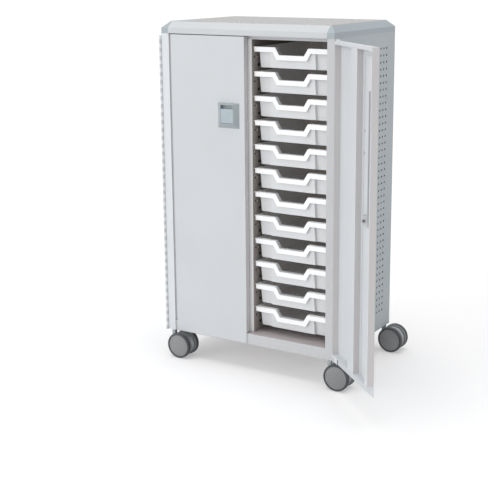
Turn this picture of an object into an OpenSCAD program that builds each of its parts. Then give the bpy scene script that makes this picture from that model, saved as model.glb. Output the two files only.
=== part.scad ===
// Classroom tray storage unit: a sheet steel carcass on four twin-wheel castors, two tall
// doors on continuous hinges and two columns of shallow trays on pressed runners.
// Millimetres, +Z up, +X to the right as seen from the front, doors towards -Y.
// The origin is the middle of the base's underside. Heights are measured from there, and
// depths are written from the door faces backwards and shifted once, in from_front().

/* [Trays] */
// Width of a tray over its rim
tray_w = 312; // [300:1:330]
// Length of a tray, front rim to back rim
tray_l = 427; // [400:1:460]
// Height of a tray
tray_h = 75; // [66:1:82]
// Height from one tray to the next
tray_pitch = 88; // [84:1:110]
// Trays in a column
trays_high = 12; // [9:1:12]
// Wall of a moulded tray
tray_wall = 2.2; // [1.6:0.1:3]
// Height of the band along a tray's front rim
rim_band = 17.5; // [12:0.5:20]
// Width of the rim over the side wall, at the top
rim_side = 9.5; // [8.5:0.5:14]
// Rim in front of the tray's front wall
rim_front = 16; // [13:1:20]
// Further draw-in of a tray's walls at its bottom
draft = 7; // [2:0.5:10]
// Corner radius of a tray's body at its bottom
body_r = 4; // [3.5:0.5:8]
// Width of the front dip at the rim
dip_top = 133; // [115:1:150]
// Width of the front dip at its floor
dip_floor = 100; // [80:1:110]
// Depth of the front dip
dip_deep = 27; // [20:1:30]
// Width of the raised panel on a tray's front
panel_w = 180; // [120:1:200]
// How far that panel stands forward
panel_raise = 10; // [4:0.5:11]
// Slant of the panel's sides
panel_side = 4; // [1:0.5:8]
// Corner radius of the rim, seen from above
rim_r = 8; // [5:1:12]
// How far the front band returns along the rim's sides
band_return = 13; // [9:1:20]

/* [Carcass] */
// Thickness of the carcass sheets
sheet = 1.5; // [1:0.1:2]
// Room between a tray's rim and the bay wall, each side
bay_gap = 2; // [1.6:0.1:4]
// Width of the centre divider
divider_w = 28; // [20:1:40]
// Edge radius of the centre divider
divider_r = 3; // [2:0.5:5]
// Width of a corner post
post_w = 28.5; // [24:0.5:36]
// Depth of a corner post
post_d = 25; // [22:1:36]
// Height of the base pan
base_h = 42; // [30:1:60]
// Room under the lowest tray
under_gap = 25; // [15:1:40]
// Room between the top tray's rim and the header rail
head_gap = 26; // [15:1:40]
// Height of the header rail that shows under the cap
header_show = 13; // [8:1:25]
// Setback of the tray fronts and their clearance behind the doors
tray_setback = 35; // [32:1:50]
// Room behind the trays
rear_gap = 31.5; // [28:0.5:60]

/* [Cap] */
// Height of the upright band round the cap
cap_band = 20; // [12:1:30]
// Rise of the slope above the band
cap_rise = 24; // [15:1:35]
// Run of the slope at the front and back
cap_run = 28; // [20:1:36]
// Run of the slope at the sides
cap_run_side = 25; // [18:1:30]

/* [Side perforation] */
// Distance between hole centres
hole_pitch = 25.4; // [20:0.1:40]
// Hole diameter
hole_d = 8; // [5:0.5:11]
// Front edge to the first column of holes
hole_front = 67; // [45:1:90]
// Least margin behind the last column
hole_rear = 70; // [45:1:90]
// Bottom edge to the first row of holes
hole_bottom = 76.2; // [50:0.1:100]
// Least margin over the last row
hole_top = 50; // [30:1:90]

/* [Doors] */
// Door sheet thickness
door_sheet = 1.2; // [0.8:0.1:1.5]
// Depth of the door's folded edges
door_deep = 24; // [18:1:26]
// Gap between the two closed doors
door_gap = 3; // [2:0.5:5]
// Gap over and under a door
door_margin = 3; // [2:0.5:5]
// Opening angle at which the right door stands
right_open = 138.5; // [0:0.5:250]
// Opening angle at which the left door stands
left_open = 0; // [0:0.5:250]
// Room between the base pan and the door's lower folded edge
pan_clear = 2; // [1:0.5:5]
// Width of the rebate beside the hinge strip
rebate_w = 9.5; // [6:0.5:14]
// Depth of that rebate
rebate_deep = 6.5; // [4:0.5:9]
// Width of the lip folded inwards along the free edge
free_lip = 25; // [15:1:35]
// Width of the lip folded down from the top edge
top_lip = 12; // [8:1:25]
// Free edge of the door to the stiffener's raised face
stiffener_in = 120.5; // [110:0.5:190]
// Width of the stiffener's raised face
stiffener_w = 51; // [30:1:70]
// Width of the stiffener's foot flanges
stiffener_foot = 14; // [8:1:20]

/* [Hinges] */
// Knuckle diameter
knuckle_d = 11; // [9:0.5:13]
// Hinge pin diameter
pin_d = 5; // [3:0.5:6]
// Height of one knuckle with its gap
knuckle_h = 15; // [12:1:30]
// Gap between knuckles
knuckle_gap = 0.2; // [0.1:0.1:0.6]
// Width of the strip that shows beside a closed door
strip_w = 31.5; // [25:0.5:34]
// Thickness of the door's hinge leaf
leaf_t = 1.5; // [1:0.1:1.5]
// Thickness of the post's hinge leaf
fixed_leaf_t = 1.2; // [0.8:0.1:1.5]

/* [Latch] */
// Free edge of the door to the latch's middle
latch_in = 67.5; // [60:0.5:90]
// Top of the door to the latch's middle
latch_down = 285; // [200:1:400]
// Width and height of the latch's surround
latch_size = 92; // [80:1:110]
// How far the surround stands proud
latch_proud = 14; // [10:1:18]
// Width of the opening in the surround
recess_w = 52; // [40:1:60]
// Height of the sloping face over the opening
latch_over = 4.5; // [3:0.5:10]
// Height of the sloping face under the opening
latch_under = 16.5; // [8:0.5:20]
// Room for the fingers over the paddle
finger_gap = 14; // [12:0.5:30]
// Thickness of the paddle
paddle_t = 3; // [2:0.5:4]

/* [Castors] */
// Room between the wheels and the base's underside
wheel_room = 5; // [3:0.5:25]
// Wheel diameter
wheel_d = 100; // [75:1:104]
// Width of one wheel
wheel_w = 24; // [18:1:30]
// Width of the housing between the two wheels
housing_w = 23; // [18:0.5:30]
// How far the axle trails behind the stem
trail = 40; // [25:1:45]
// Stem diameter
stem_d = 11; // [8:0.5:14]
// Length of the stem above the base's underside
stem_up = 38; // [25:1:60]
// Width of the square neck under the base
neck_w = 14; // [12:0.5:16]
// Width of the tyre ring on the wheel's face
tyre_ring = 9; // [6:1:14]
// Axle diameter
axle_d = 8; // [6:0.5:10]

/* [Runners] */
// Runner sheet thickness
runner_t = 1.2; // [0.8:0.1:1.5]
// Width of the ledge under a tray's rim
ledge_w = 9; // [7:0.5:9.5]
// How far a lanced tab stands out of the runner sheet
tab_out = 8; // [2:0.5:8]
// Length of such a tab
tab_l = 9; // [5:1:12]

/* [Hidden] */
// Lanced holes in the runner sheets: behind the sheet's end, under the rim, length and height
near_hole = [12, 40, 10, 6];
far_hole = [38, 72, 18, 10];
// Clearances and overrun
cut = 1;
rest_gap = 0.3;
running_gap = 0.05;
pin_gap = 0.1;
side_play = 1;
smooth = 64;
fine = 32;
// Fittings on the inside of a door, measured from its top and its free edge
lock_strip_top = 135;
lock_strip_l = 400;
lock_strip_w = 9;
lock_strip_in = 8;
lock_case_w = 50;
lock_case_h = 34;
lock_knob_d = 9;
lock_knob_l = 6;
lock_knob_in = 32;
fitting_t = 1.5;
catch_w = 58;
catch_h = 13;
catch_under = 3;
rivet_d = 9;
rivet_h = 2;
rivet_in = 102;
rivet_low_down = 343;
rivet_apart = 71;
// Castor details
hood_in = 7;
wheel_clear = 1;
crown = 1.5;
// The shares say where the domed face of a wheel turns, from its middle to the tyre ring
face_shares = [0, 0.35, 0.6, 0.8, 1];
dish = 3;
socket_h = 40;
// Latch details
latch_back = 1.5;
land = 2;
paddle_pin_d = 3;
paddle_pin_in = 2.5;
paddle_play = 0.3;
paddle_low = 2;
paddle_recess = 1;
paddle_lip = 4;
// Header and stiffener details
header_up = 11;

// The two hinge leaves lie between the door face and the post
leaf_gap = rest_gap;
leaf_stack = leaf_t + leaf_gap + fixed_leaf_t;

// Sizes of the carcass follow the trays
bay_w = tray_w + 2 * bay_gap;
body_w = divider_w + 2 * (bay_w + post_w + sheet);
body_d = tray_setback + tray_l + rear_gap + sheet;
wall_h = base_h + under_gap + tray_h + tray_pitch * (trays_high - 1) + head_gap + header_show;
half_w = body_w / 2;
cap_top = wall_h + cap_band + cap_rise;
bay_in = divider_w / 2;
bay_out = bay_in + bay_w;
bay_mid = bay_in + bay_w / 2;
header_low = wall_h - header_show;
back_in = body_d - sheet;
// The pivot stands outboard of the side panel, level with the door face
knuckle_clear = rest_gap;
pivot_x = half_w + knuckle_d / 2 + knuckle_clear;
strip_in = half_w - strip_w;
pan_out = strip_in - rebate_w;
pan_in = door_gap / 2;
door_low = door_margin;
door_high = wall_h - door_margin;
pan_low = base_h + pan_clear;
latch_x = pan_in + latch_in;
latch_z = door_high - latch_down;
recess_low = latch_z - latch_size / 2 + latch_under + land;
recess_high = latch_z + latch_size / 2 - latch_over - land;
paddle_h = recess_high - recess_low - finger_gap;
axle_z = -wheel_room - wheel_d / 2;
hood_r = wheel_d / 2 - hood_in;
castor_w = housing_w + 2 * (wheel_w + wheel_clear);
knuckles = floor(wall_h / (2 * knuckle_h));
dip_turn = tan(atan2(dip_deep, (dip_top - dip_floor) / 2) / 2);

sides = [[1, "right"], [-1, "left"]];
corners = [[-1, 0, "front_left"], [1, 0, "front_right"], [-1, 1, "rear_left"], [1, 1, "rear_right"]];
levels = [for (i = [1:trays_high]) i];

function two(i) = str(i < 10 ? "0" : "", i);
function rim_top(i) = header_low - head_gap - tray_pitch * (i - 1);
function post_x() = half_w - sheet - post_w / 2;
function post_y(rear) = rear ? back_in - post_d / 2 : leaf_stack + post_d / 2;

// Depths are measured from the door faces, so the whole part is shifted once
module from_front() {
    translate([0, -body_d / 2, 0]) children();
}

// Pieces are drawn for the right side, and the left side is their mirror image
module on_side(s) {
    if (s < 0) mirror([1, 0, 0]) children();
    else children();
}

// A slab from one corner to the opposite one
module slab(x0, x1, y0, y1, z0, z1) {
    translate([x0, y0, z0]) cube([x1 - x0, y1 - y0, z1 - z0]);
}

// An outline drawn in X and Z, drawn out from y0 to y1
module along_y(y0, y1) {
    translate([0, y1, 0]) rotate([90, 0, 0]) linear_extrude(height = y1 - y0) children();
}

// An outline drawn in Y and Z, drawn out from x0 to x1
module along_x(x0, x1) {
    translate([x0, 0, 0]) rotate([90, 0, 90]) linear_extrude(height = x1 - x0) children();
}

// A rectangle with true round corners
module round_rect(x0, x1, y0, y1, r) {
    translate([x0 + r, y0]) square([x1 - x0 - 2 * r, y1 - y0]);
    translate([x0, y0 + r]) square([x1 - x0, y1 - y0 - 2 * r]);
    for (x = [x0 + r, x1 - r])
        for (y = [y0 + r, y1 - r])
            translate([x, y]) circle(r = r, $fn = smooth);
}

// Carcass

// Folded box section under the floor, cut away at the corners for the posts
module base_pan() {
    color("#d1d0d2")
    from_front()
    difference() {
        along_x(sheet - half_w, half_w - sheet) difference() {
            translate([leaf_stack, 0]) square([back_in - leaf_stack, base_h]);
            translate([leaf_stack + sheet, sheet])
                square([back_in - leaf_stack - 2 * sheet, base_h - 2 * sheet]);
        }
        for (s = [0, 1])
            mirror([s, 0, 0]) {
                slab(bay_out, half_w, leaf_stack - cut, leaf_stack + post_d, -cut, base_h + cut);
                slab(bay_out, half_w, back_in - post_d, back_in + cut, -cut, base_h + cut);
            }
    }
}

// Four square tubes, open at the foot for the castor sockets
module corner_posts() {
    color("#dfe2e4")
    from_front()
    for (s = [-1, 1])
        for (rear = [false, true])
            translate([s * post_x(), post_y(rear), 0])
                linear_extrude(height = wall_h) difference() {
                    square([post_w, post_d], center = true);
                    square([post_w - 2 * sheet, post_d - 2 * sheet], center = true);
                }
}

// Plastic plugs in the feet of the posts, bored for the castor stems
module castor_sockets() {
    color("#3c3e40")
    from_front()
    for (c = corners)
        translate([c[0] * post_x(), post_y(c[1] == 1), 0])
            difference() {
                translate([sheet - post_w / 2, sheet - post_d / 2, 0])
                    cube([post_w - 2 * sheet, post_d - 2 * sheet, socket_h]);
                translate([0, 0, -cut])
                    cylinder(d = stem_d + 2 * running_gap, h = socket_h + 2 * cut, $fn = smooth);
            }
}

// Box section between the two bays, with round upright edges
module centre_divider() {
    color("#b4b6b8")
    from_front()
    translate([0, 0, base_h]) linear_extrude(height = header_low - base_h) difference() {
        round_rect(-bay_in, bay_in, leaf_stack + post_d, back_in, divider_r);
        translate([sheet - bay_in, leaf_stack + post_d + sheet])
            square([divider_w - 2 * sheet, back_in - leaf_stack - post_d - 2 * sheet]);
    }
}

// Folded rail behind the cap's front band, hooked onto it by its upper flange
module header_rail() {
    rail_y = leaf_stack + post_d;
    rail_z = wall_h + header_up;
    color("#cfd2d4")
    from_front()
    along_x(-bay_out, bay_out) polygon([
        [rail_y, header_low], [rail_y + sheet, header_low], [rail_y + sheet, rail_z],
        [sheet, rail_z], [sheet, rail_z - sheet], [rail_y, rail_z - sheet]
    ]);
}

module back_panel() {
    color("#c9cdd0")
    from_front()
    slab(sheet - half_w, half_w - sheet, back_in, body_d, 0, wall_h);
}

// Side sheet with its field of round holes
module side_panel(s) {
    columns = floor((body_d - hole_front - hole_rear) / hole_pitch);
    rows = floor((wall_h - hole_bottom - hole_top) / hole_pitch);
    color("#a3aeb2")
    from_front()
    on_side(s)
    along_x(half_w - sheet, half_w) difference() {
        translate([leaf_stack, 0]) square([body_d - leaf_stack, wall_h]);
        for (c = [0:columns])
            for (r = [0:rows])
                translate([hole_front + c * hole_pitch, hole_bottom + r * hole_pitch])
                    circle(d = hole_d, $fn = smooth);
    }
}

// Cap: an upright band and a slope on all four sides, drawn in by e
module cap_form(e) {
    side = half_w - e;
    intersection() {
        along_y(-cut, body_d + cut) polygon([
            [-side, wall_h - cut], [side, wall_h - cut], [side, wall_h + cap_band],
            [side - cap_run_side, cap_top], [cap_run_side - side, cap_top], [-side, wall_h + cap_band]
        ]);
        along_x(-half_w - cut, half_w + cut) polygon([
            [e, wall_h - cut], [body_d - e, wall_h - cut], [body_d - e, wall_h + cap_band],
            [body_d - e - cap_run, cap_top], [e + cap_run, cap_top], [e, wall_h + cap_band]
        ]);
    }
}

// The cap's sheet, from its lower edge up to the underside of the top panel
module cap_ring() {
    intersection() {
        difference() {
            cap_form(0);
            cap_form(sheet);
        }
        slab(-half_w, half_w, 0, body_d, wall_h, cap_top - sheet);
    }
}

// Front and back rails of the cap
module cap_rails() {
    color("#d9dde0")
    from_front()
    intersection() {
        cap_ring();
        slab(-bay_out, bay_out, 0, body_d, wall_h, cap_top);
    }
}

// Blue-grey end of the cap, with the corner strips that turn round to the front and back
module cap_end(s) {
    color("#b3bdc3")
    from_front()
    on_side(s)
    intersection() {
        cap_ring();
        slab(bay_out, half_w, 0, body_d, wall_h, cap_top);
    }
}

module top_panel() {
    color("#c6c5c5")
    from_front()
    intersection() {
        cap_form(0);
        slab(-half_w, half_w, 0, body_d, cap_top - sheet, cap_top);
    }
}

// Runners

// One upright sheet with a folded ledge under each tray, lanced holes and their tabs;
// it is drawn with its face at x = 0 and its ledges towards +X
module runner_sheet() {
    y0 = leaf_stack + post_d;
    y1 = back_in - post_d;
    difference() {
        slab(0, runner_t, y0, y1, base_h, header_low);
        for (i = levels)
            for (hole = [near_hole, far_hole])
                translate([-cut, y0 + hole[0], rim_top(i) - hole[1]])
                    cube([runner_t + 2 * cut, hole[2], hole[3]]);
    }
    for (i = levels) {
        slab(0, ledge_w, tray_setback + band_return + side_play, y1, ledge_z(i) - runner_t, ledge_z(i));
        translate([0, y0 + near_hole[0] + near_hole[2], rim_top(i) - near_hole[1]])
            cube([runner_t + tab_out, runner_t, near_hole[3]]);
        translate([0, y0 + far_hole[0] + far_hole[2], rim_top(i) - far_hole[1] - runner_t])
            cube([runner_t + tab_out, tab_l, runner_t]);
    }
}

function ledge_z(i) = rim_top(i) - tray_wall - rest_gap;

// The two runner sheets of a bay: one on the divider, one folded behind the posts
module runner_racks(s) {
    y0 = leaf_stack + post_d;
    y1 = back_in - post_d;
    color("#635e5b")
    from_front()
    on_side(s) {
        translate([bay_in, 0, 0]) runner_sheet();
        translate([bay_out, 0, 0]) mirror([1, 0, 0]) runner_sheet();
        slab(bay_out - runner_t, half_w - sheet, y0, y0 + runner_t, base_h, header_low);
        slab(bay_out - runner_t, half_w - sheet, y1 - runner_t, y1, base_h, header_low);
    }
}

// Trays

// The line of the rim across the front, with its dip, e below the rim
function rim_line(e) = [
    [-tray_w / 2, tray_h - e],
    [-dip_top / 2 - e * dip_turn, tray_h - e],
    [-dip_floor / 2 - e * dip_turn, tray_h - dip_deep - e],
    [dip_floor / 2 + e * dip_turn, tray_h - dip_deep - e],
    [dip_top / 2 + e * dip_turn, tray_h - e],
    [tray_w / 2, tray_h - e]
];
function backwards(line) = [for (i = [len(line) - 1:-1:0]) line[i]];

// The strip between the rim's line and e below it
module rim_strip(e) {
    polygon(concat(rim_line(0), backwards(rim_line(e))));
}

// The drafted body with round corners, drawn in by e on all sides and raised by e at the bottom
module tray_body(e) {
    top = tray_h + sign(e) * cut;
    r = body_r - e;
    x = tray_w / 2 - rim_side - draft - body_r;
    y0 = rim_front + draft + body_r;
    y1 = tray_l - y0;
    along_y(y0, y1) polygon([
        [-x - r, e], [x + r, e],
        [x + r + draft, top], [-x - r - draft, top]
    ]);
    along_x(-x, x) polygon([
        [y0 - r, e], [y1 + r, e],
        [y1 + r + draft, top], [y0 - r - draft, top]
    ]);
    for (corner = [[-x, y0], [x, y0], [-x, y1], [x, y1]])
        translate([corner[0], corner[1], e])
            cylinder(r1 = r, r2 = r + draft, h = top - e, $fn = smooth);
}

// The raised panel on the front, with slanted sides, drawn in by e
module tray_panel(e) {
    half = panel_w / 2 - e;
    near = rim_front - panel_raise + e;
    far = rim_front + draft + tray_wall;
    intersection() {
        along_x(-tray_w / 2, tray_w / 2) polygon([
            [near + draft, tray_wall + e], [far, tray_wall + e],
            [far, tray_h - tray_wall], [near, tray_h - tray_wall]
        ]);
        linear_extrude(height = tray_h) polygon([
            [-half, near], [half, near], [half + panel_side, far], [-half - panel_side, far]
        ]);
    }
}

// One tray, with its front rim at y = 0 and its underside at z = 0
module tray_form() {
    wall_y = rim_front + draft;
    dip_z = tray_h - dip_deep;
    difference() {
        union() {
            difference() {
                union() {
                    tray_body(0);
                    tray_panel(0);
                }
                tray_body(tray_wall);
                tray_panel(tray_wall);
            }
            translate([0, 0, tray_h - tray_wall]) linear_extrude(height = tray_wall)
                round_rect(-tray_w / 2, tray_w / 2, 0, tray_l, rim_r);
            intersection() {
                along_y(0, band_return) rim_strip(rim_band);
                linear_extrude(height = tray_h) difference() {
                    round_rect(-tray_w / 2, tray_w / 2, 0, tray_l, rim_r);
                    round_rect(tray_wall - tray_w / 2, tray_w / 2 - tray_wall,
                        tray_wall, tray_l, rim_r - tray_wall);
                }
            }
            along_y(tray_wall / 2, wall_y) rim_strip(tray_wall);
        }
        tray_body(tray_wall);
        translate([0, -cut, 0]) along_y(0, wall_y + tray_wall + 2 * cut) polygon([
            [-dip_top / 2, tray_h], [-dip_floor / 2, dip_z], [dip_floor / 2, dip_z],
            [dip_top / 2, tray_h], [dip_top / 2, tray_h + cut], [-dip_top / 2, tray_h + cut]
        ]);
    }
}

module tray(s, i) {
    color("#e6e9eb")
    from_front()
    translate([s * bay_mid, tray_setback, rim_top(i) - tray_h])
    tray_form();
}

// Hinges

// Stretches of height that every second knuckle takes, for the post or for the door
module knuckle_run(door_part) {
    for (k = [0:knuckles - 1])
        translate([pivot_x, 0, (2 * k + (door_part ? 1 : 0)) * knuckle_h + knuckle_gap])
            children();
}

// Leaf on the post, with its knuckles and the pin fixed in them
module hinge_post_leaf(s) {
    leaf_y = leaf_t + leaf_gap;
    color("#c8c9c9")
    from_front()
    on_side(s)
    union() {
        slab(bay_out + knuckle_d / 2, half_w, leaf_y, leaf_stack, 0, wall_h);
        knuckle_run(false) {
            cylinder(d = knuckle_d, h = knuckle_h - knuckle_gap, $fn = fine);
            translate([half_w - pivot_x - cut, leaf_y, 0])
                cube([pivot_x - half_w + cut, fixed_leaf_t, knuckle_h - knuckle_gap]);
        }
        translate([pivot_x, 0, knuckle_gap])
            cylinder(d = pin_d, h = 2 * knuckles * knuckle_h - knuckle_gap, $fn = fine);
    }
}

// A door's pieces turn about the hinge pin
module on_door(s) {
    from_front()
    on_side(s)
    translate([pivot_x, 0, 0])
    rotate([0, 0, s > 0 ? right_open : left_open])
    translate([-pivot_x, 0, 0])
    children();
}

// Leaf on the door: the strip that shows at the front, and the bored knuckles
module hinge_door_leaf(s) {
    color("#dde1e4")
    on_door(s)
    difference() {
        union() {
            slab(strip_in, half_w, 0, leaf_t, rest_gap, wall_h - rest_gap);
            knuckle_run(true) {
                cylinder(d = knuckle_d, h = knuckle_h - knuckle_gap, $fn = fine);
                translate([half_w - pivot_x - cut, 0, 0])
                    cube([pivot_x - half_w + cut, leaf_t, knuckle_h - knuckle_gap]);
            }
        }
        translate([pivot_x, 0, -cut])
            cylinder(d = pin_d + 2 * pin_gap, h = wall_h + 2 * cut, $fn = fine);
    }
}

// Doors

// Folded pan with a flat skin, its lips, and the rebate that meets the hinge strip
module door(s) {
    t = door_sheet;
    color("#d8dcdf")
    on_door(s)
    union() {
        slab(pan_in, pan_out, 0, t, door_low, door_high);
        slab(pan_in, pan_in + t, 0, door_deep, pan_low, door_high);
        slab(pan_out - t, pan_out, 0, door_deep, pan_low, door_high);
        slab(pan_in, pan_out, 0, door_deep, door_high - t, door_high);
        slab(pan_in, pan_out, 0, door_deep, pan_low, pan_low + t);
        slab(pan_in, pan_in + free_lip, door_deep - t, door_deep, pan_low, door_high);
        slab(pan_in, pan_out, door_deep - t, door_deep, door_high - top_lip, door_high);
        slab(pan_out - t, strip_in + t, rebate_deep, rebate_deep + t, pan_low, door_high);
        slab(strip_in, strip_in + t, leaf_t, rebate_deep + t, pan_low, door_high);
    }
}

// Hat section up the inside of a door, from the lower folded edge to the top lip
module door_stiffener(s) {
    t = door_sheet;
    x0 = pan_in + stiffener_in;
    x1 = x0 + stiffener_w;
    color("#c2c2c3")
    on_door(s)
    translate([0, 0, pan_low + t]) linear_extrude(height = door_high - top_lip - pan_low - t) polygon([
        [x0 - stiffener_foot, t], [x0 + t, t], [x0 + t, door_deep - t], [x1 - t, door_deep - t],
        [x1 - t, t], [x1 + stiffener_foot, t], [x1 + stiffener_foot, 2 * t], [x1, 2 * t],
        [x1, door_deep], [x0, door_deep], [x0, 2 * t], [x0 - stiffener_foot, 2 * t]
    ]);
}

// Lock strip with the case and knob at its foot, catch plate and rivets on the inside of a door
module lock_fittings(s) {
    strip_x = pan_in + lock_strip_in;
    strip_z = door_high - lock_strip_top;
    case_x = strip_x + lock_case_w;
    case_z = strip_z - lock_strip_l;
    face = door_deep + fitting_t;
    color("#9fa1a3")
    on_door(s) {
        slab(strip_x, strip_x + lock_strip_w, door_deep, face, case_z, strip_z);
        slab(strip_x, case_x, door_deep, face, case_z - lock_case_h, case_z);
        slab(pan_in + free_lip, case_x, door_sheet, door_deep, case_z - lock_case_h, case_z);
        translate([strip_x + lock_knob_in, face, case_z - lock_case_h / 2])
            rotate([-90, 0, 0]) cylinder(d = lock_knob_d, h = lock_knob_l, $fn = fine);
        slab(pan_in + fitting_t, pan_in + catch_w, door_deep, face,
            door_high - top_lip - catch_under - catch_h, door_high - top_lip - catch_under);
        for (k = [0, 1])
            translate([pan_in + rivet_in, door_sheet, door_high - rivet_low_down + k * rivet_apart])
                rotate([-90, 0, 0]) cylinder(d = rivet_d, h = rivet_h, $fn = fine);
    }
}

// Four-sided surround with sloping faces and the recess for the fingers
module latch_surround(s) {
    base = latch_size / 2;
    reach = recess_w / 2 + land;
    color("#a4adb0")
    on_door(s)
    difference() {
        intersection() {
            translate([0, 0, latch_z - base]) linear_extrude(height = latch_size) polygon([
                [latch_x - base, 0], [latch_x + base, 0],
                [latch_x + reach, -latch_proud], [latch_x - reach, -latch_proud]
            ]);
            along_x(latch_x - base, latch_x + base) polygon([
                [0, latch_z - base], [0, latch_z + base],
                [-latch_proud, recess_high + land], [-latch_proud, recess_low - land]
            ]);
        }
        slab(latch_x - recess_w / 2, latch_x + recess_w / 2, -latch_proud - cut, -latch_back,
            recess_low, recess_high);
        translate([latch_x - recess_w / 2 - paddle_pin_in, paddle_y(), recess_low + paddle_low])
            rotate([0, 90, 0])
            cylinder(d = paddle_pin_d + 2 * pin_gap, h = recess_w + 2 * paddle_pin_in, $fn = fine);
    }
}

function paddle_y() = paddle_recess + paddle_t / 2 - latch_proud;

// Pull paddle, which turns outwards on a pin at its foot
module latch_paddle(s) {
    half = recess_w / 2 - paddle_play;
    pin_l = half + paddle_pin_in - paddle_play;
    top = paddle_h - paddle_low;
    color("#b2c1c8")
    on_door(s)
    translate([latch_x, paddle_y(), recess_low + paddle_low]) {
        rotate([0, 90, 0]) translate([0, 0, -pin_l]) cylinder(d = paddle_pin_d, h = 2 * pin_l, $fn = fine);
        rotate([0, 90, 0]) translate([0, 0, -half]) cylinder(d = paddle_t, h = 2 * half, $fn = fine);
        slab(-half, half, -paddle_t / 2, paddle_t / 2, 0, top);
        slab(-half, half, -paddle_t / 2, paddle_lip, top - paddle_t, top);
    }
}

// Castors

// Stem, square neck and the round housing between the wheels, bored for the axle
module castor_housing(c) {
    color("#8f989b")
    from_front()
    translate([c[0] * post_x(), post_y(c[1] == 1), 0])
    difference() {
        union() {
            translate([0, 0, axle_z]) cylinder(d = stem_d, h = stem_up - axle_z, $fn = fine);
            slab(-neck_w / 2, neck_w / 2, -neck_w / 2, neck_w / 2, axle_z, -rest_gap);
            along_y(-housing_w / 2, housing_w / 2)
                translate([trail, axle_z]) circle(r = hood_r, $fn = smooth);
        }
        translate([trail, castor_w / 2, axle_z]) rotate([90, 0, 0])
            cylinder(d = axle_d + 2 * running_gap, h = castor_w, $fn = fine);
    }
}

// Two wheels on their axle, each with a tyre ring round a sunk and slightly domed face
module castor_wheels(c) {
    face_r = wheel_d / 2 - tyre_ring;
    inner = housing_w / 2 + wheel_clear;
    outer = inner + wheel_w;
    face = [for (share = face_shares) [face_r * share, outer + crown - (crown + dish) * share * share]];
    wheel = concat([
        [axle_d / 2, inner], [wheel_d / 2 - dish, inner], [wheel_d / 2, inner + dish],
        [wheel_d / 2, outer - dish], [wheel_d / 2 - dish, outer], [face_r, outer]
    ], backwards(face));
    color("#6a6c6e")
    from_front()
    translate([c[0] * post_x() + trail, post_y(c[1] == 1), axle_z])
    rotate([90, 0, 0])
    rotate_extrude($fn = smooth) polygon(concat([for (p = backwards(wheel)) [p[0], -p[1]]], wheel));
}

base_pan();
corner_posts();
castor_sockets();
centre_divider();
header_rail();
back_panel();
cap_rails();
top_panel();
for (s = sides) {
    side_panel(s[0]);
    cap_end(s[0]);
    runner_racks(s[0]);
    hinge_post_leaf(s[0]);
    hinge_door_leaf(s[0]);
    door(s[0]);
    door_stiffener(s[0]);
    lock_fittings(s[0]);
    latch_surround(s[0]);
    latch_paddle(s[0]);
    for (i = levels)
        tray(s[0], i);
}
for (c = corners) {
    castor_housing(c);
    castor_wheels(c);
}
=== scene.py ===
"""Looks of a classroom tray storage unit: powder coated steel, moulded trays, castors."""
import math

import bmesh
import bpy
from mathutils import Matrix, Vector


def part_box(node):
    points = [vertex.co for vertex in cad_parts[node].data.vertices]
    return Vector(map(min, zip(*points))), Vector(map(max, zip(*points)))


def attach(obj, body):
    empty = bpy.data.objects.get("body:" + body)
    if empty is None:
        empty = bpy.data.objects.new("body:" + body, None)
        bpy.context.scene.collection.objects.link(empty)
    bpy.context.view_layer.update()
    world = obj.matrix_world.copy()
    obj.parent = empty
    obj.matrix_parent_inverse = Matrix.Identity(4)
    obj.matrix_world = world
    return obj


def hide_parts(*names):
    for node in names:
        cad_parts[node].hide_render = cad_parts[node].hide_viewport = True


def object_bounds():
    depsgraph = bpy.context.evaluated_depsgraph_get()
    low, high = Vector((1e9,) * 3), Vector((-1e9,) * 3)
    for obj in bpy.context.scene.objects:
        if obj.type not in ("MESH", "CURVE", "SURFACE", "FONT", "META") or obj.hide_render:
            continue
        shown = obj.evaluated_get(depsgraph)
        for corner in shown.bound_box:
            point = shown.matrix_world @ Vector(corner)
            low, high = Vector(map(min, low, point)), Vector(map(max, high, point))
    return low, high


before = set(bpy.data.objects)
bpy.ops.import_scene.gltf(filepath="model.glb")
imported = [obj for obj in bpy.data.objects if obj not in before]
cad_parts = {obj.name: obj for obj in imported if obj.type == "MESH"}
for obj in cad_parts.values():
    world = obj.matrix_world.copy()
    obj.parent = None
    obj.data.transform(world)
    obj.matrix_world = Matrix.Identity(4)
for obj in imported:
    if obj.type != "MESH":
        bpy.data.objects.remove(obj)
cad_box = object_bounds()

MM = 0.001
SIDES = ("left", "right")
CORNERS = ("front_left", "front_right", "rear_left", "rear_right")
TRAYS_HIGH = 12

# Sizes that the looks share with the frame, in millimetres
BODY_DEPTH = 495
FRONT_Y = -BODY_DEPTH / 2
PIVOT_X = 365.8
RIGHT_OPEN = 138.5

FLAT = 0.99  # a face whose normal reaches this share along an axis lies square to it
COAT_IOR = 1.5
PLASTIC_IOR = 1.49


# Small tools

def linear(code):
    """The linear RGBA of an sRGB hex colour."""
    parts = [int(code[i:i + 2], 16) / 255 for i in (1, 3, 5)]
    return tuple(p / 12.92 if p <= 0.04045 else ((p + 0.055) / 1.055) ** 2.4 for p in parts) + (1.0,)


def per(size_mm):
    """A pattern's scale on Object coordinates for a feature of that size."""
    return 1 / (size_mm * MM)


def add(tree, kind, values=None, **settings):
    """Adds a node with its settings; an input takes a plain value or another node's socket."""
    node = tree.nodes.new(kind)
    for name, value in settings.items():
        setattr(node, name, value)
    for name, value in (values or {}).items():
        if isinstance(value, bpy.types.NodeSocket):
            tree.links.new(value, node.inputs[name])
        else:
            node.inputs[name].default_value = value
    return node


def blank(name):
    """A material with an empty tree and its Object coordinates."""
    material = bpy.data.materials.new(name)
    material.use_nodes = True
    tree = material.node_tree
    tree.nodes.clear()
    coords = add(tree, "ShaderNodeTexCoord").outputs["Object"]
    return material, tree, coords


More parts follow.
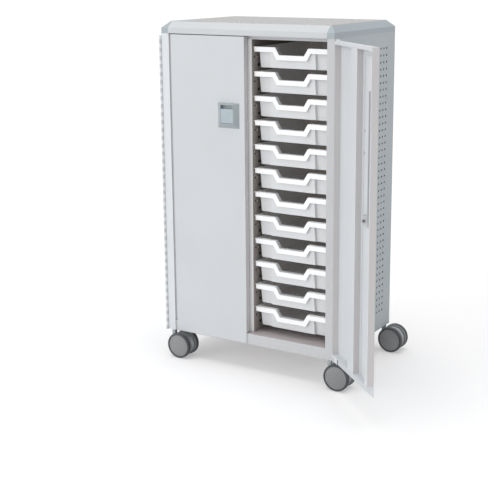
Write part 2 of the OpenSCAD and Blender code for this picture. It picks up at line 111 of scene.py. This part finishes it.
def close(material, tree, shader):
    """Joins a shader to the material's output."""
    output = add(tree, "ShaderNodeOutputMaterial")
    tree.links.new(shader, output.inputs["Surface"])
    return material


def noise(tree, coords, size_mm, detail):
    """A noise of that feature size."""
    values = {"Vector": coords, "Scale": per(size_mm), "Detail": detail}
    return add(tree, "ShaderNodeTexNoise", values).outputs["Fac"]


def cloud(tree, coords, size_mm, low, high):
    """A soft noise of that feature size, mapped between two numbers."""
    noise_low, noise_high = 0.3, 0.7
    spread = add(tree, "ShaderNodeMapRange", {
        "Value": noise(tree, coords, size_mm, 2.0), "From Min": noise_low, "From Max": noise_high,
        "To Min": low, "To Max": high})
    return spread.outputs["Result"]


def tint(tree, factor, code_a, code_b):
    """A colour between two hex colours."""
    mix = add(tree, "ShaderNodeMix", data_type="RGBA")
    mix.inputs[6].default_value = linear(code_a)
    mix.inputs[7].default_value = linear(code_b)
    tree.links.new(factor, mix.inputs[0])
    return mix.outputs[2]


def bump(tree, height, depth_mm):
    """A bump of that real depth."""
    values = {"Height": height, "Distance": depth_mm * MM, "Strength": 1.0}
    return add(tree, "ShaderNodeBump", values).outputs["Normal"]


# Finishes

def powder_coat(name, light, dark, roughness=0.42):
    """Baked satin powder coat on steel: even colour, soft gloss and a faint orange peel."""
    shade_mm, gloss_mm, gloss_spread, peel_mm, peel_depth = 260, 90, 0.04, 2.5, 0.02
    material, tree, coords = blank(name)
    colour = tint(tree, cloud(tree, coords, shade_mm, 0, 1), dark, light)
    gloss = cloud(tree, coords, gloss_mm, roughness - gloss_spread, roughness + gloss_spread)
    peel = bump(tree, noise(tree, coords, peel_mm, 1.0), peel_depth)
    shader = add(tree, "ShaderNodeBsdfPrincipled", {
        "Base Color": colour, "Roughness": gloss, "IOR": COAT_IOR, "Normal": peel})
    return close(material, tree, shader.outputs["BSDF"])


def speckled_coat(name):
    """Textured powder coat with grey and pale flecks, drawn 5 mm wide so that they show."""
    fleck_mm, grit_mm, grit_depth, roughness = 5, 1.6, 0.12, 0.62
    dark, middle, pale = (0.36, "#959493"), (0.5, "#b2b1b1"), (0.66, "#c8c8c8")
    material, tree, coords = blank(name)
    flecks = add(tree, "ShaderNodeTexNoise", {
        "Vector": coords, "Scale": per(fleck_mm), "Detail": 3.0, "Roughness": 0.7})
    ramp = add(tree, "ShaderNodeValToRGB", {"Fac": flecks.outputs["Fac"]})
    stops = ramp.color_ramp.elements
    for stop, (place, code) in zip((stops[0], stops[1]), (dark, pale)):
        stop.position, stop.color = place, linear(code)
    stops.new(middle[0]).color = linear(middle[1])
    shader = add(tree, "ShaderNodeBsdfPrincipled", {
        "Base Color": ramp.outputs["Color"], "Roughness": roughness, "IOR": COAT_IOR,
        "Normal": bump(tree, noise(tree, coords, grit_mm, 2.0), grit_depth)})
    return close(material, tree, shader.outputs["BSDF"])


def moulded(name, light, dark, roughness, glow_colour="#ffffff", glow=0.0):
    """Injection moulded plastic: an even colour, a fine spark-eroded grain and flow clouding.

    The glow is painted light: the surface shines a little though it is no lamp.
    """
    shade_mm, gloss_mm, gloss_spread, grain_mm, grain_depth = 60, 35, 0.05, 1.2, 0.03
    material, tree, coords = blank(name)
    colour = tint(tree, cloud(tree, coords, shade_mm, 0, 1), dark, light)
    gloss = cloud(tree, coords, gloss_mm, roughness - gloss_spread, roughness + gloss_spread)
    shader = add(tree, "ShaderNodeBsdfPrincipled", {
        "Base Color": colour, "Roughness": gloss, "IOR": PLASTIC_IOR,
        "Emission Color": linear(glow_colour), "Emission Strength": glow,
        "Normal": bump(tree, noise(tree, coords, grain_mm, 1.0), grain_depth)})
    return close(material, tree, shader.outputs["BSDF"])


def zinc_plate(name, light, dark):
    """Zinc plated steel: a pale metal with cloudy spangle."""
    spangle_mm, gloss_mm, smooth, rough = 6, 12, 0.34, 0.5
    material, tree, coords = blank(name)
    spangle = add(tree, "ShaderNodeTexVoronoi", {"Vector": coords, "Scale": per(spangle_mm)})
    colour = tint(tree, spangle.outputs["Distance"], light, dark)
    shader = add(tree, "ShaderNodeBsdfPrincipled", {
        "Base Color": colour, "Metallic": 0.9, "Roughness": cloud(tree, coords, gloss_mm, smooth, rough)})
    return close(material, tree, shader.outputs["BSDF"])


door_coat = powder_coat("door_powder_coat", "#cdd1d4", "#cacdd0")
# The fold walls take a warmer copy of the door's white: painted warm shade on the walls of the folds.
fold_shade_coat = powder_coat("door_fold_painted_shade_powder_coat", "#d0cdcd", "#ccc9c9")
frame_coat = powder_coat("frame_powder_coat", "#c6c7c9", "#c2c3c5")
# The base pan's level faces take a darker, warmer copy of the frame's white: painted shade inside the bay.
shelf_shade_coat = powder_coat("base_level_painted_shade_powder_coat", "#bcb4b4", "#b7afaf")
# The divider takes a much lighter copy of the frame's white: painted light on a front that stands in shade.
divider_light_coat = powder_coat("divider_painted_light_powder_coat", "#ececec", "#e9e9e9")
cap_coat = powder_coat("cap_powder_coat", "#cacdcf", "#c6c9cc")
side_coat = powder_coat("side_blue_grey_powder_coat", "#b2babe", "#aeb5b9", roughness=0.5)
cap_end_coat = powder_coat("cap_end_blue_grey_powder_coat", "#a8b2b7", "#a4adb3", roughness=0.5)
# The door's hinge leaves take a lighter copy of the door's white: painted light over the shade between
# knuckles and leaf.
hinge_light_coat = powder_coat("hinge_painted_light_powder_coat", "#dbdfe2", "#d8dcdf")
top_coat = speckled_coat("top_speckled_powder_coat")
runner_coat = powder_coat("runner_dark_coated_sheet", "#a19a95", "#948d89", roughness=0.55)
# Near black coat painted where there is only shade: the divider's sides behind the runners and the walls of
# the punched holes.
painted_shade_sheet = powder_coat("near_black_painted_shade_coat", "#3a3735", "#35322f", roughness=0.6)
zinc = zinc_plate("fitting_zinc_plate", "#d6d8da", "#c6c8ca")
# The lock strip takes a darker copy of the zinc: a painted shadow line along it.
bar_shade_zinc = zinc_plate("lock_bar_painted_shade_zinc_plate", "#b2b4b6", "#a3a5a7")
latch_plastic = moulded("latch_grey_abs", "#a5adb0", "#9da6a9", 0.45)
paddle_plastic = moulded("paddle_blue_grey_abs", "#aebbc1", "#a6b3ba", 0.4)
tray_plastic = moulded("tray_white_polypropylene", "#dee0e2", "#dadcdd", 0.38)
# The tray's rim takes a brighter copy of the tray's white: painted light on the rim.
rim_light_plastic = moulded("tray_rim_painted_light_polypropylene", "#fdfefe", "#fafbfc", 0.3)
# The tray's inside takes a lighter, warm copy of the tray's white with a faint glow: painted light in the
# shaded inside.
inside_glow_plastic = moulded("tray_inside_painted_glow_polypropylene", "#f6f5f4", "#f2f1f0", 0.5, "#fff6f0", 0.02)
castor_plastic = moulded("castor_grey_nylon", "#b2b9bc", "#a3aaad", 0.5)
knob_plastic = moulded("knob_grey_nylon", "#6c6e70", "#66686a", 0.5)
socket_plastic = moulded("socket_black_nylon", "#2c2d2f", "#242527", 0.55)
wheel_plastic = moulded("wheel_grey_polypropylene", "#8c8d8e", "#838485", 0.45)
tyre_rubber = moulded("tyre_grey_rubber", "#4f5155", "#47494c", 0.75)


# Meshes

def from_node(node):
    """A merged copy of a CAD node's mesh, in millimetres, as a bmesh."""
    merge, level = 0.01, math.radians(1)
    bm = bmesh.new()
    bm.from_mesh(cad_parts[node].data)
    bmesh.ops.scale(bm, vec=(1 / MM,) * 3, verts=bm.verts)
    bmesh.ops.remove_doubles(bm, verts=bm.verts, dist=merge)
    bmesh.ops.dissolve_limit(bm, angle_limit=level, verts=bm.verts, edges=bm.edges)
    return bm


def sharp_edges(bm, angle, where=None):
    """The edges that turn by more than angle, in degrees, and lie where the test says."""
    limit = math.radians(angle)
    found = []
    for edge in bm.edges:
        if len(edge.link_faces) == 2 and edge.calc_face_angle(0) > limit:
            middle = (edge.verts[0].co + edge.verts[1].co) / 2
            if where is None or where(middle, edge):
                found.append(edge)
    return found


def round_off(bm, edges, radius, segments=2):
    bmesh.ops.bevel(
        bm, geom=edges, offset=radius, segments=segments, profile=0.5, affect="EDGES", clamp_overlap=True)


def settled(piece):
    """Replaces a piece's modifiers by the plain mesh that they give."""
    graph = bpy.context.evaluated_depsgraph_get()
    mesh = bpy.data.meshes.new_from_object(piece.evaluated_get(graph))
    mesh.name = piece.name
    piece.modifiers.clear()
    piece.data = mesh


def piece_of(bm, name, materials, smooth_angle=40):
    """A shown object from a bmesh in millimetres, with its place in its mesh and flat faces shaded flat."""
    bmesh.ops.scale(bm, vec=(MM,) * 3, verts=bm.verts)
    mesh = bpy.data.meshes.new(name)
    bm.to_mesh(mesh)
    bm.free()
    for material in materials:
        mesh.materials.append(material)
    mesh.polygons.foreach_set("use_smooth", [True] * len(mesh.polygons))
    mesh.set_sharp_from_angle(angle=math.radians(smooth_angle))
    piece = bpy.data.objects.new(name, mesh)
    bpy.context.scene.collection.objects.link(piece)
    weight = piece.modifiers.new("area_weight", "WEIGHTED_NORMAL")
    weight.keep_sharp = True
    settled(piece)
    return piece


def moved_copy(piece, name, shift):
    """A copy of a finished piece whose mesh is moved."""
    mesh = piece.data.copy()
    mesh.transform(Matrix.Translation(shift))
    copy = bpy.data.objects.new(name, mesh)
    bpy.context.scene.collection.objects.link(copy)
    return copy


def dress(node, material):
    """Gives a CAD node that keeps its shape its finish."""
    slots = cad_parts[node].data.materials
    slots.clear()
    slots.append(material)


def stands_for(piece, body, slot, *nodes):
    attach(piece, body)
    if nodes:
        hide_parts(*nodes)


def softened(node, radius, segments=2, angle=30):
    """A CAD node's shape with its edges rounded off as folded or moulded ones are."""
    bm = from_node(node)
    round_off(bm, sharp_edges(bm, angle), radius, segments)
    return bm


# Doors: the left one is closed, so its pieces are made there and turned for the right one

def right_door_matrix():
    """Takes the closed left door to where the right one stands, in millimetres."""
    pivot = Vector((PIVOT_X, FRONT_Y, 0))
    turn = Matrix.Rotation(math.radians(RIGHT_OPEN), 4, "Z")
    return Matrix.Translation(pivot) @ turn @ Matrix.Translation(-pivot) @ Matrix.Scale(-1, 4, (1, 0, 0))


def for_both_doors(bm, stem, materials, slot, body):
    """Shows the left piece and its mirrored, opened copy, each on its own door."""
    turned = bm.copy()
    turned.transform(right_door_matrix())
    bmesh.ops.reverse_faces(turned, faces=turned.faces)
    for side, form in (("left", bm), ("right", turned)):
        piece = piece_of(form, f"{stem}_{side}_shown", materials)
        stands_for(piece, f"{body}_{side}_body", slot, f"{stem}_{side}")


def shade_tint_folds(bm):
    """Gives the upright walls of a closed door's folds the second finish, a warmer painted shade."""
    sideways = 0.7
    bm.normal_update()
    for face in bm.faces:
        face.material_index = 1 if abs(face.normal.x) > sideways else 0
    return bm


def doors():
    outer_fold, thin_edge, stiffener_edge, on_skin, long_edge = 0.8, 0.3, 0.5, 0.1, 100

    def folds(middle, edge):
        """The long outer folds between the skin and the turned edges."""
        return abs(middle.y - FRONT_Y) < on_skin and edge.calc_length() > long_edge

    bm = from_node("door_left")
    round_off(bm, sharp_edges(bm, 30, folds), outer_fold, 3)
    round_off(bm, sharp_edges(bm, 60), thin_edge, 1)
    coats = [door_coat, fold_shade_coat]
    for_both_doors(shade_tint_folds(bm), "door", coats, "door_white", "door")
    stiffener = shade_tint_folds(softened("door_stiffener_left", stiffener_edge))
    for_both_doors(stiffener, "door_stiffener", coats, "door_white", "door")
    for side in SIDES:
        dress(f"hinge_door_leaf_{side}", hinge_light_coat)
        dress(f"hinge_post_leaf_{side}", frame_coat)
        fittings(side)


def fittings(side):
    """Plated case, catch plate and rivets, a lock strip plated darker as a painted shadow line, and the
    grey knob beyond the case.
    """
    case_face, strip_out, strip_low, strip_high = 25.6, -19.0, 632, 1035
    back = right_door_matrix().inverted() if side == "right" else Matrix.Identity(4)
    dress(f"lock_fittings_{side}", zinc)
    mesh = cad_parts[f"lock_fittings_{side}"].data
    mesh.materials.append(knob_plastic)
    mesh.materials.append(bar_shade_zinc)
    for face in mesh.polygons:
        place = back @ (face.center / MM)
        if place.y > FRONT_Y + case_face:
            face.material_index = 1
        # The lock strip takes the darker zinc as painted shadow.
        elif place.x > strip_out and strip_low < place.z < strip_high:
            face.material_index = 2


def latches():
    moulded_edge = 0.6
    surround = softened("latch_surround_left", moulded_edge, angle=20)
    for_both_doors(surround, "latch_surround", [latch_plastic], "latch_grey", "door")
    paddle = softened("latch_paddle_left", moulded_edge, angle=40)
    for_both_doors(paddle, "latch_paddle", [paddle_plastic], "paddle_blue_grey", "paddle")


# Carcass

def with_painted_shade(node, radius, coats, across):
    """A folded piece whose flat faces across that direction take the second finish, a painted shade."""
    piece = piece_of(softened(node, radius), node + "_shown", coats)
    stands_for(piece, "cabinet", "frame_white", node)
    for face in piece.data.polygons:
        if abs(face.normal.dot(across)) > FLAT:
            face.material_index = 1


def side_panel(side):
    """Blue-grey sheet whose punched holes' cut walls are painted near black as shade."""
    node = f"side_panel_{side}"
    margin, edgewise = 20 * MM, 0.5
    dress(node, side_coat)
    low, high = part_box(node)
    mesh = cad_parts[node].data
    mesh.materials.append(painted_shade_sheet)
    # The holes' walls take the painted shade.
    for face in mesh.polygons:
        inside_y = low.y + margin < face.center.y < high.y - margin
        inside_z = low.z + margin < face.center.z < high.z - margin
        if inside_y and inside_z and abs(face.normal.x) < edgewise:
            face.material_index = 1


def carcass():
    tube_corner, sheet_fold, divider_fold = 1.2, 0.7, 0.8
    dress("castor_sockets", socket_plastic)
    dress("back_panel", frame_coat)
    dress("top_panel", top_coat)
    for node, radius in (("corner_posts", tube_corner), ("header_rail", sheet_fold)):
        piece = piece_of(softened(node, radius), node + "_shown", [frame_coat])
        stands_for(piece, "cabinet", "frame_white", node)
    with_painted_shade("base_pan", sheet_fold, [frame_coat, shelf_shade_coat], Vector((0, 0, 1)))
    # The divider's sides behind the runners take the painted shade.
    with_painted_shade("centre_divider", divider_fold, [divider_light_coat, painted_shade_sheet], Vector((1, 0, 0)))
    for side in SIDES:
        side_panel(side)
        dress(f"runner_racks_{side}", runner_coat)
        dress(f"cap_end_{side}", cap_end_coat)
    dress("cap_rails", cap_coat)


# Trays

def tray_mesh():
    """The right bay's top tray, with the edges of a moulding, its rim painted brighter as light and its
    inside painted lighter with a glow.
    """
    bottom_edge, other_edge, on_bottom, turn, smooth_turn = 1.9, 0.9, 0.1, 30, 50
    rim_depth, flange, wall, floor_high, upward = 3.2, 3.0, 16.0, 5.0, 0.9
    bm = from_node("tray_right_01")
    low, high = (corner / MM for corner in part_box("tray_right_01"))
    bottom = sharp_edges(bm, turn, lambda middle, edge: middle.z < low.z + on_bottom)
    round_off(bm, bottom, bottom_edge, 3)
    round_off(bm, sharp_edges(bm, turn, lambda middle, edge: edge.is_convex), other_edge)
    bmesh.ops.recalc_face_normals(bm, faces=bm.faces)
    piece = piece_of(bm, "tray_right_01_shown", [tray_plastic, rim_light_plastic, inside_glow_plastic], smooth_turn)
    centre = (low + high) / 2
    for face in piece.data.polygons:
        middle = face.center / MM
        inwards = face.normal.x * (middle.x - centre.x) + face.normal.y * (middle.y - centre.y) < 0
        floor = face.normal.z > upward and middle.z < low.z + floor_high
        # The rim takes the painted light; the floor and inner walls take the lighter, glowing inside.
        if middle.y < low.y + rim_depth or middle.z > high.z - flange:
            face.material_index = 1
        elif floor or (inwards and middle.y > low.y + wall):
            face.material_index = 2
    return piece


def column_tree():
    """Repeats a tray downwards by its pitch and gives each part of it its finish again."""
    tree = bpy.data.node_groups.new("tray_column", "GeometryNodeTree")
    tree.is_modifier = True
    tree.interface.new_socket("Geometry", in_out="INPUT", socket_type="NodeSocketGeometry")
    levels = tree.interface.new_socket("Levels", in_out="INPUT", socket_type="NodeSocketInt")
    pitch = tree.interface.new_socket("Pitch", in_out="INPUT", socket_type="NodeSocketFloat")
    tree.interface.new_socket("Geometry", in_out="OUTPUT", socket_type="NodeSocketGeometry")
    given = add(tree, "NodeGroupInput")
    step = add(tree, "ShaderNodeCombineXYZ", {"Z": given.outputs["Pitch"]})
    line = add(tree, "GeometryNodeMeshLine", {
        "Count": given.outputs["Levels"], "Offset": step.outputs[0]})
    placed = add(tree, "GeometryNodeInstanceOnPoints", {
        "Points": line.outputs[0], "Instance": given.outputs[0]})
    shape = add(tree, "GeometryNodeRealizeInstances", {"Geometry": placed.outputs[0]}).outputs[0]
    for finish in (tray_plastic, rim_light_plastic, inside_glow_plastic):
        chosen = add(tree, "GeometryNodeMaterialSelection", {"Material": finish})
        shape = add(tree, "GeometryNodeSetMaterial", {
            "Geometry": shape, "Selection": chosen.outputs[0], "Material": finish}).outputs[0]
    add(tree, "NodeGroupOutput", {"Geometry": shape})
    return tree, levels.identifier, pitch.identifier


def trays():
    first = tray_mesh()
    pitch = (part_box("tray_right_01")[0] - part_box("tray_right_02")[0]).z
    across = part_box("tray_left_01")[0].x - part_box("tray_right_01")[0].x
    for level in range(1, TRAYS_HIGH + 1):
        node = f"tray_right_{level:02d}"
        shift = Vector((0, 0, pitch * (1 - level)))
        piece = first if level == 1 else moved_copy(first, node + "_shown", shift)
        stands_for(piece, node + "_body", "tray_white", node)
    column = moved_copy(first, "tray_left_column_shown", Vector((across, 0, 0)))
    tree, levels_socket, pitch_socket = column_tree()
    stack = column.modifiers.new("stack", "NODES")
    stack[levels_socket] = TRAYS_HIGH
    stack[pitch_socket] = -pitch
    stack.node_group = tree
    settled(column)
    nodes = [f"tray_left_{level:02d}" for level in range(1, TRAYS_HIGH + 1)]
    stands_for(column, "cabinet", "tray_white", *nodes)


# Castors

def lathe(profile, centre, name, material, steps=64):
    """Turns a closed outline of (radius, offset along Y) about a castor's axle."""
    bm = bmesh.new()
    rings = []
    for r, offset in profile:
        ring = []
        for k in range(steps):
            a = 2 * math.pi * k / steps
            spoke = Vector((r * math.cos(a), offset, r * math.sin(a)))
            ring.append(bm.verts.new(centre + spoke))
        rings.append(ring)
    for i in range(len(rings)):
        near, far = rings[i], rings[(i + 1) % len(rings)]
        for k in range(steps):
            n = (k + 1) % steps
            bm.faces.new((near[k], near[n], far[n], far[k]))
    bmesh.ops.remove_doubles(bm, verts=bm.verts, dist=0.001)
    bmesh.ops.recalc_face_normals(bm, faces=bm.faces)
    return piece_of(bm, name, [material])


def arc(cx, cy, r, start, end, steps):
    """Points on an arc, in degrees."""
    return [(cx + r * math.cos(math.radians(start + (end - start) * k / steps)),
             cy + r * math.sin(math.radians(start + (end - start) * k / steps))) for k in range(steps + 1)]


def wheel_outline(inner, outer, radius, ring, flange):
    """Disc of one wheel: a flange on its inner side and a domed face."""
    bore, flange_in, proud, rise, steps = 4.0, 1.5, 1.2, 3.6, 8
    face_r, flange_r, top = radius - ring, radius - flange_in, outer + proud
    dome = [(face_r * (1 - k / steps), top - rise * (1 - k / steps) ** 2) for k in range(steps + 1)]
    rim = [(bore, inner), (flange_r, inner), (flange_r, inner + flange), (face_r, inner + flange)]
    return rim + dome + [(0.0, inner)]


def tyre_outline(inner, outer, radius, ring):
    """Soft tread with round shoulders that grips the disc."""
    shoulder, clear, inner_lip, outer_lip, steps = 4.0, 0.02, 0.5, 0.6, 5
    face_r, arc_r = radius - ring + clear, radius - shoulder
    return ([(face_r, inner + inner_lip)] + arc(arc_r, inner + shoulder, shoulder, -90, 0, steps)
            + arc(arc_r, outer - shoulder, shoulder, 0, 90, steps) + [(face_r, outer - outer_lip)])


def castors():
    radius, ring, wide, crown, axle_r, flange, axle_steps = 50.0, 7.0, 24.0, 1.5, 4.0, 7.0, 24
    housing_edge, housing_turn = 2.0, 40
    for corner in CORNERS:
        node = f"castor_wheels_{corner}"
        low, high = (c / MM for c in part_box(node))
        centre = (low + high) / 2
        outer = (high - low).y / 2 - crown
        inner = outer - wide
        form = softened(f"castor_housing_{corner}", housing_edge, 3, housing_turn)
        housing = piece_of(form, f"castor_housing_{corner}_shown", [castor_plastic])
        stands_for(housing, f"castor_{corner}", "castor_grey", f"castor_housing_{corner}")
        hubs = []
        for label, sign in (("near", -1), ("far", 1)):
            disc = [(r, sign * y) for r, y in wheel_outline(inner, outer, radius, ring, flange)]
            tyre = [(r, sign * y) for r, y in tyre_outline(inner + flange, outer, radius, ring)]
            hubs.append(lathe(disc, centre, f"wheel_disc_{label}_{corner}", wheel_plastic))
            hubs.append(lathe(tyre, centre, f"wheel_tyre_{label}_{corner}", tyre_rubber))
        shaft = [(0, -inner), (axle_r, -inner), (axle_r, inner), (0, inner)]
        axle = lathe(shaft, centre, f"axle_{corner}", zinc, axle_steps)
        stands_for(hubs[0], f"wheels_{corner}", "wheel_grey", node)
        for piece in hubs[1:] + [axle]:
            stands_for(piece, f"wheels_{corner}", "wheel_grey")


# Studio

def studio_floor():
    """White sweep: the camera sees it near white, and it keeps the unit's soft shadow."""
    clear, size, shown_share, shown_strength = 0.5 * MM, 60.0, 0.25, 1.35
    floor_z = cad_box[0].z - clear
    mesh = bpy.data.meshes.new("studio_floor")
    corners = [(x * size, y * size, floor_z) for x, y in ((-1, -1), (1, -1), (1, 1), (-1, 1))]
    mesh.from_pydata(corners, [], [(0, 1, 2, 3)])
    floor = bpy.data.objects.new("studio_floor", mesh)
    bpy.context.scene.collection.objects.link(floor)
    material, tree, coords = blank("floor_white_sweep")
    matt = add(tree, "ShaderNodeBsdfDiffuse", {"Color": (0.86, 0.86, 0.87, 1)})
    glow = add(tree, "ShaderNodeEmission", {"Color": (1, 1, 1, 1), "Strength": shown_strength})
    rays = add(tree, "ShaderNodeLightPath")
    share = add(tree, "ShaderNodeMath", {0: rays.outputs["Is Camera Ray"], 1: shown_share},
                operation="MULTIPLY")
    mix = add(tree, "ShaderNodeMixShader", {0: share.outputs[0], 1: matt.outputs[0], 2: glow.outputs[0]})
    mesh.materials.append(close(material, tree, mix.outputs[0]))


def lights():
    """A white surround that lights more from the left, and two broad suns."""
    left_light, right_light = 0.76, 0.54
    suns = (("front_left_sun", 1.15, 50, -32, 12), ("overhead_sun", 1.15, 40, 0, 87))
    world = bpy.data.worlds.new("studio_world")
    world.use_nodes = True
    tree = world.node_tree
    tree.nodes.clear()
    rays = add(tree, "ShaderNodeLightPath")
    seen = add(tree, "ShaderNodeMath", {0: rays.outputs["Is Camera Ray"], 1: rays.outputs["Is Glossy Ray"]},
               operation="MAXIMUM")
    seen = add(tree, "ShaderNodeMath", {0: seen.outputs[0], 1: rays.outputs["Is Transmission Ray"]},
               operation="MAXIMUM")
    way = add(tree, "ShaderNodeTexCoord").outputs["Generated"]
    across = add(tree, "ShaderNodeSeparateXYZ", {"Vector": way}).outputs["X"]
    soft = add(tree, "ShaderNodeMapRange", {
        "Value": across, "From Min": -1.0, "To Min": left_light, "To Max": right_light})
    strength = add(tree, "ShaderNodeMapRange", {
        "Value": seen.outputs[0], "To Min": soft.outputs["Result"], "To Max": 1.0})
    sky = add(tree, "ShaderNodeBackground", {"Color": (1, 1, 1, 1), "Strength": strength.outputs["Result"]})
    output = add(tree, "ShaderNodeOutputWorld")
    tree.links.new(sky.outputs[0], output.inputs["Surface"])
    bpy.context.scene.world = world
    for name, energy, spread, azimuth, height in suns:
        lamp = bpy.data.lights.new(name, "SUN")
        lamp.energy = energy
        lamp.angle = math.radians(spread)
        holder = bpy.data.objects.new(name, lamp)
        turn, lift = math.radians(azimuth), math.radians(height)
        toward = Vector((math.sin(turn) * math.cos(lift), -math.cos(turn) * math.cos(lift), math.sin(lift)))
        holder.rotation_mode = "QUATERNION"
        holder.rotation_quaternion = toward.to_track_quat("Z", "Y")
        bpy.context.scene.collection.objects.link(holder)


def camera():
    """The photograph's view: its place, turn and lens, for an image of 488 by 479 pixels."""
    image_width, image_height, sensor_mm, far_m = 488, 479, 36, 200
    focal_px, axis_px = 1074.36, (281.84, 208.98)
    place = Vector((2035.33, -3256.94 + FRONT_Y, 1384.5)) * MM
    azimuth, pitch, roll = 30.03, -12.67, -0.12
    data = bpy.data.cameras.new("camera")
    data.sensor_width = sensor_mm
    data.lens = focal_px / image_width * data.sensor_width
    data.shift_x = (image_width / 2 - axis_px[0]) / image_width
    data.shift_y = (axis_px[1] - image_height / 2) / image_width
    data.clip_end = far_m
    holder = bpy.data.objects.new("camera", data)
    holder.matrix_world = (
        Matrix.Translation(place) @ Matrix.Rotation(math.radians(azimuth), 4, "Z")
        @ Matrix.Rotation(math.radians(90 + pitch), 4, "X") @ Matrix.Rotation(math.radians(roll), 4, "Z"))
    bpy.context.scene.collection.objects.link(holder)
    bpy.context.scene.camera = holder
    bpy.context.scene.view_settings.view_transform = "Standard"


camera()
studio_floor()
lights()
carcass()
doors()
latches()
trays()
castors()
